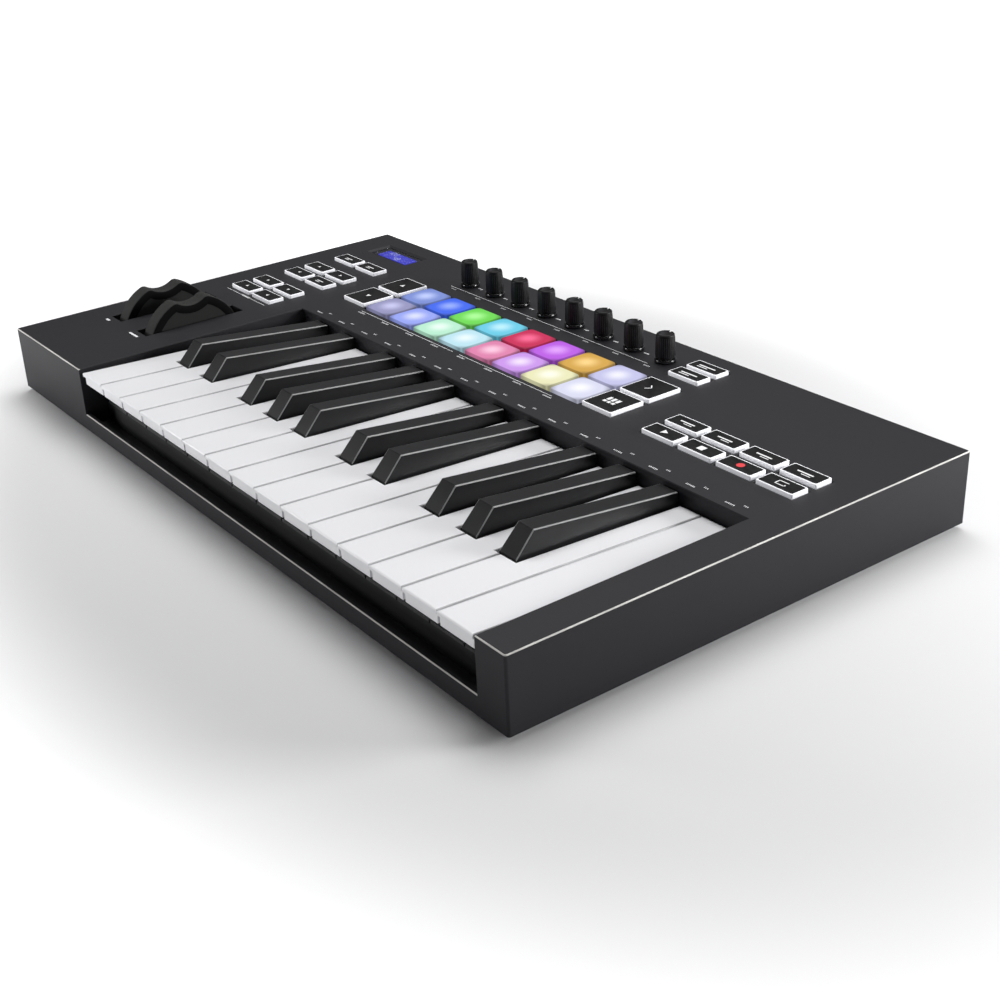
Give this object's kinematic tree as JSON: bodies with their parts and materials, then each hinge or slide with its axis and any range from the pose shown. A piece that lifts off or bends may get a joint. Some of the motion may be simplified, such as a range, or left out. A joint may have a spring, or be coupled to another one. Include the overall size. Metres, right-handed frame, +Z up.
{
  "type": "midi keyboard",
  "caption": "Flat two-octave controller keyboard with piano keys on a common pivot rod, two thumb wheels, turning knobs, lit pads, push buttons and a small display in a charcoal case.",
  "frame": {"origin": "bottom centre of the bounding box, on the plane that the feet stand on", "axes": "+X to the player's right along the keys, +Y from the player to the back, +Z up"},
  "size_m": [0.464, 0.258, 0.054],
  "materials": {
    "charcoal_case": "finely textured moulded plastic, matte",
    "black_plastic": "plain moulded plastic, matte",
    "steel": "drawn and rolled steel, satin",
    "socket_metal": "bright plated sheet",
    "foot_rubber": "matte soft rubber",
    "felt": "pressed felt",
    "contact_silicone": "translucent grey silicone",
    "circuit_board": "solder-masked glass epoxy, satin",
    "white_key": "white moulded plastic, satin gloss",
    "black_key": "black moulded plastic, satin",
    "wheel_plastic": "dark grey plastic with a soft-touch rim",
    "knob_plastic": "black moulded plastic, semi-gloss",
    "pad_silicone": "translucent silicone, matte, lit from below in sixteen colours",
    "button_plastic": "white translucent rubber with a printed black cap",
    "display_lens": "clear tinted window",
    "display_backlight": "blue-violet backlit segment display"
  },
  "bodies": {
    "case": {"top_case": "charcoal_case", "bottom_case": "black_plastic", "case_screws": "steel", "rubber_feet": "foot_rubber", "keybed_chassis": "black_plastic", "pivot_rod": "steel", "key_stop_felt": "felt", "key_spring_comb": "steel", "key_contact_board": "circuit_board", "key_contact_rubber": "contact_silicone", "wheel_bracket": "black_plastic", "wheel_sensors": "black_plastic", "pitch_return_spring": "steel", "knob_encoders": "knob_plastic", "control_board": "circuit_board", "display_window": "display_lens", "display_module": "display_backlight", "usb_socket": "socket_metal", "midi_out_socket": "black_plastic", "pedal_jack": "black_plastic"},
    "pitch_wheel": {"pitch_wheel": "wheel_plastic"},
    "mod_wheel": {"mod_wheel": "wheel_plastic"},
    "knob_1": {"knob_1": "knob_plastic"},
    "knob_2": {"knob_2": "knob_plastic"},
    "knob_3": {"knob_3": "knob_plastic"},
    "knob_4": {"knob_4": "knob_plastic"},
    "knob_5": {"knob_5": "knob_plastic"},
    "knob_6": {"knob_6": "knob_plastic"},
    "knob_7": {"knob_7": "knob_plastic"},
    "knob_8": {"knob_8": "knob_plastic"},
    "pad_mat": {"pad_mat": "pad_silicone"},
    "left_keypad": {"left_keypad": "button_plastic"},
    "left_bank_keypad": {"left_bank_keypad": "button_plastic"},
    "right_bank_keypad": {"right_bank_keypad": "button_plastic"},
    "transport_keypad": {"transport_keypad": "button_plastic"},
    "white_key_01": {"white_key_01": "white_key"},
    "white_key_02": {"white_key_02": "white_key"},
    "white_key_03": {"white_key_03": "white_key"},
    "white_key_04": {"white_key_04": "white_key"},
    "white_key_05": {"white_key_05": "white_key"},
    "white_key_06": {"white_key_06": "white_key"},
    "white_key_07": {"white_key_07": "white_key"},
    "white_key_08": {"white_key_08": "white_key"},
    "white_key_09": {"white_key_09": "white_key"},
    "white_key_10": {"white_key_10": "white_key"},
    "white_key_11": {"white_key_11": "white_key"},
    "white_key_12": {"white_key_12": "white_key"},
    "white_key_13": {"white_key_13": "white_key"},
    "white_key_14": {"white_key_14": "white_key"},
    "white_key_15": {"white_key_15": "white_key"},
    "black_key_01": {"black_key_01": "black_key"},
    "black_key_02": {"black_key_02": "black_key"},
    "black_key_03": {"black_key_03": "black_key"},
    "black_key_04": {"black_key_04": "black_key"},
    "black_key_05": {"black_key_05": "black_key"},
    "black_key_06": {"black_key_06": "black_key"},
    "black_key_07": {"black_key_07": "black_key"},
    "black_key_08": {"black_key_08": "black_key"},
    "black_key_09": {"black_key_09": "black_key"},
    "black_key_10": {"black_key_10": "black_key"}
  },
  "joints": [
    {"name": "pitch_wheel_turn", "type": "hinge", "parent": "case", "child": "pitch_wheel", "pos_m": [-0.2052, -0.0477, 0.0249], "axis": [1, 0, 0], "range_deg": [-30, 30], "stiffness_Nm_per_rad": 0.02},
    {"name": "mod_wheel_turn", "type": "hinge", "parent": "case", "child": "mod_wheel", "pos_m": [-0.1718, -0.0477, 0.0249], "axis": [1, 0, 0], "range_deg": [-30, 30]},
    {"name": "knob_1_turn", "type": "hinge", "parent": "case", "child": "knob_1", "pos_m": [-0.1066, 0.105, 0.0385], "axis": [0, 0, 1], "range_deg": [-140, 140]},
    {"name": "knob_2_turn", "type": "hinge", "parent": "case", "child": "knob_2", "pos_m": [-0.0825, 0.105, 0.0385], "axis": [0, 0, 1], "range_deg": [-140, 140]},
    {"name": "knob_3_turn", "type": "hinge", "parent": "case", "child": "knob_3", "pos_m": [-0.0584, 0.105, 0.0385], "axis": [0, 0, 1], "range_deg": [-140, 140]},
    {"name": "knob_4_turn", "type": "hinge", "parent": "case", "child": "knob_4", "pos_m": [-0.0343, 0.105, 0.0385], "axis": [0, 0, 1], "range_deg": [-140, 140]},
    {"name": "knob_5_turn", "type": "hinge", "parent": "case", "child": "knob_5", "pos_m": [-0.0102, 0.105, 0.0385], "axis": [0, 0, 1], "range_deg": [-140, 140]},
    {"name": "knob_6_turn", "type": "hinge", "parent": "case", "child": "knob_6", "pos_m": [0.0139, 0.105, 0.0385], "axis": [0, 0, 1], "range_deg": [-140, 140]},
    {"name": "knob_7_turn", "type": "hinge", "parent": "case", "child": "knob_7", "pos_m": [0.038, 0.105, 0.0385], "axis": [0, 0, 1], "range_deg": [-140, 140]},
    {"name": "knob_8_turn", "type": "hinge", "parent": "case", "child": "knob_8", "pos_m": [0.0621, 0.105, 0.0385], "axis": [0, 0, 1], "range_deg": [-140, 140]},
    {"name": "pad_mat_press", "type": "slide", "parent": "case", "child": "pad_mat", "axis": [0, 0, -1], "range_m": [0, 0.0006], "stiffness_N_per_m": 4000, "springref_m": -0.0005},
    {"name": "left_keypad_press", "type": "slide", "parent": "case", "child": "left_keypad", "axis": [0, 0, -1], "range_m": [0, 0.0008], "stiffness_N_per_m": 1200, "springref_m": -0.0005},
    {"name": "left_bank_keypad_press", "type": "slide", "parent": "case", "child": "left_bank_keypad", "axis": [0, 0, -1], "range_m": [0, 0.0008], "stiffness_N_per_m": 800, "springref_m": -0.0005},
    {"name": "right_bank_keypad_press", "type": "slide", "parent": "case", "child": "right_bank_keypad", "axis": [0, 0, -1], "range_m": [0, 0.0008], "stiffness_N_per_m": 800, "springref_m": -0.0005},
    {"name": "transport_keypad_press", "type": "slide", "parent": "case", "child": "transport_keypad", "axis": [0, 0, -1], "range_m": [0, 0.0008], "stiffness_N_per_m": 1000, "springref_m": -0.0005},
    {"name": "white_key_01_press", "type": "hinge", "parent": "case", "child": "white_key_01", "pos_m": [0, 0.029, 0.021], "axis": [1, 0, 0], "range_deg": [0, 3.6], "stiffness_Nm_per_rad": 0.5, "springref_deg": -6.88},
    {"name": "white_key_02_press", "type": "hinge", "parent": "case", "child": "white_key_02", "pos_m": [0, 0.029, 0.021], "axis": [1, 0, 0], "range_deg": [0, 3.6], "stiffness_Nm_per_rad": 0.5, "springref_deg": -6.88},
    {"name": "white_key_03_press", "type": "hinge", "parent": "case", "child": "white_key_03", "pos_m": [0, 0.029, 0.021], "axis": [1, 0, 0], "range_deg": [0, 3.6], "stiffness_Nm_per_rad": 0.5, "springref_deg": -6.88},
    {"name": "white_key_04_press", "type": "hinge", "parent": "case", "child": "white_key_04", "pos_m": [0, 0.029, 0.021], "axis": [1, 0, 0], "range_deg": [0, 3.6], "stiffness_Nm_per_rad": 0.5, "springref_deg": -6.88},
    {"name": "white_key_05_press", "type": "hinge", "parent": "case", "child": "white_key_05", "pos_m": [0, 0.029, 0.021], "axis": [1, 0, 0], "range_deg": [0, 3.6], "stiffness_Nm_per_rad": 0.5, "springref_deg": -6.88},
    {"name": "white_key_06_press", "type": "hinge", "parent": "case", "child": "white_key_06", "pos_m": [0, 0.029, 0.021], "axis": [1, 0, 0], "range_deg": [0, 3.6], "stiffness_Nm_per_rad": 0.5, "springref_deg": -6.88},
    {"name": "white_key_07_press", "type": "hinge", "parent": "case", "child": "white_key_07", "pos_m": [0, 0.029, 0.021], "axis": [1, 0, 0], "range_deg": [0, 3.6], "stiffness_Nm_per_rad": 0.5, "springref_deg": -6.88},
    {"name": "white_key_08_press", "type": "hinge", "parent": "case", "child": "white_key_08", "pos_m": [0, 0.029, 0.021], "axis": [1, 0, 0], "range_deg": [0, 3.6], "stiffness_Nm_per_rad": 0.5, "springref_deg": -6.88},
    {"name": "white_key_09_press", "type": "hinge", "parent": "case", "child": "white_key_09", "pos_m": [0, 0.029, 0.021], "axis": [1, 0, 0], "range_deg": [0, 3.6], "stiffness_Nm_per_rad": 0.5, "springref_deg": -6.88},
    {"name": "white_key_10_press", "type": "hinge", "parent": "case", "child": "white_key_10", "pos_m": [0, 0.029, 0.021], "axis": [1, 0, 0], "range_deg": [0, 3.6], "stiffness_Nm_per_rad": 0.5, "springref_deg": -6.88},
    {"name": "white_key_11_press", "type": "hinge", "parent": "case", "child": "white_key_11", "pos_m": [0, 0.029, 0.021], "axis": [1, 0, 0], "range_deg": [0, 3.6], "stiffness_Nm_per_rad": 0.5, "springref_deg": -6.88},
    {"name": "white_key_12_press", "type": "hinge", "parent": "case", "child": "white_key_12", "pos_m": [0, 0.029, 0.021], "axis": [1, 0, 0], "range_deg": [0, 3.6], "stiffness_Nm_per_rad": 0.5, "springref_deg": -6.88},
    {"name": "white_key_13_press", "type": "hinge", "parent": "case", "child": "white_key_13", "pos_m": [0, 0.029, 0.021], "axis": [1, 0, 0], "range_deg": [0, 3.6], "stiffness_Nm_per_rad": 0.5, "springref_deg": -6.88},
    {"name": "white_key_14_press", "type": "hinge", "parent": "case", "child": "white_key_14", "pos_m": [0, 0.029, 0.021], "axis": [1, 0, 0], "range_deg": [0, 3.6], "stiffness_Nm_per_rad": 0.5, "springref_deg": -6.88},
    {"name": "white_key_15_press", "type": "hinge", "parent": "case", "child": "white_key_15", "pos_m": [0, 0.029, 0.021], "axis": [1, 0, 0], "range_deg": [0, 3.6], "stiffness_Nm_per_rad": 0.5, "springref_deg": -6.88},
    {"name": "black_key_01_press", "type": "hinge", "parent": "case", "child": "black_key_01", "pos_m": [0, 0.029, 0.021], "axis": [1, 0, 0], "range_deg": [0, 3.6], "stiffness_Nm_per_rad": 0.5, "springref_deg": -6.88},
    {"name": "black_key_02_press", "type": "hinge", "parent": "case", "child": "black_key_02", "pos_m": [0, 0.029, 0.021], "axis": [1, 0, 0], "range_deg": [0, 3.6], "stiffness_Nm_per_rad": 0.5, "springref_deg": -6.88},
    {"name": "black_key_03_press", "type": "hinge", "parent": "case", "child": "black_key_03", "pos_m": [0, 0.029, 0.021], "axis": [1, 0, 0], "range_deg": [0, 3.6], "stiffness_Nm_per_rad": 0.5, "springref_deg": -6.88},
    {"name": "black_key_04_press", "type": "hinge", "parent": "case", "child": "black_key_04", "pos_m": [0, 0.029, 0.021], "axis": [1, 0, 0], "range_deg": [0, 3.6], "stiffness_Nm_per_rad": 0.5, "springref_deg": -6.88},
    {"name": "black_key_05_press", "type": "hinge", "parent": "case", "child": "black_key_05", "pos_m": [0, 0.029, 0.021], "axis": [1, 0, 0], "range_deg": [0, 3.6], "stiffness_Nm_per_rad": 0.5, "springref_deg": -6.88},
    {"name": "black_key_06_press", "type": "hinge", "parent": "case", "child": "black_key_06", "pos_m": [0, 0.029, 0.021], "axis": [1, 0, 0], "range_deg": [0, 3.6], "stiffness_Nm_per_rad": 0.5, "springref_deg": -6.88},
    {"name": "black_key_07_press", "type": "hinge", "parent": "case", "child": "black_key_07", "pos_m": [0, 0.029, 0.021], "axis": [1, 0, 0], "range_deg": [0, 3.6], "stiffness_Nm_per_rad": 0.5, "springref_deg": -6.88},
    {"name": "black_key_08_press", "type": "hinge", "parent": "case", "child": "black_key_08", "pos_m": [0, 0.029, 0.021], "axis": [1, 0, 0], "range_deg": [0, 3.6], "stiffness_Nm_per_rad": 0.5, "springref_deg": -6.88},
    {"name": "black_key_09_press", "type": "hinge", "parent": "case", "child": "black_key_09", "pos_m": [0, 0.029, 0.021], "axis": [1, 0, 0], "range_deg": [0, 3.6], "stiffness_Nm_per_rad": 0.5, "springref_deg": -6.88},
    {"name": "black_key_10_press", "type": "hinge", "parent": "case", "child": "black_key_10", "pos_m": [0, 0.029, 0.021], "axis": [1, 0, 0], "range_deg": [0, 3.6], "stiffness_Nm_per_rad": 0.5, "springref_deg": -6.88}
  ]
}
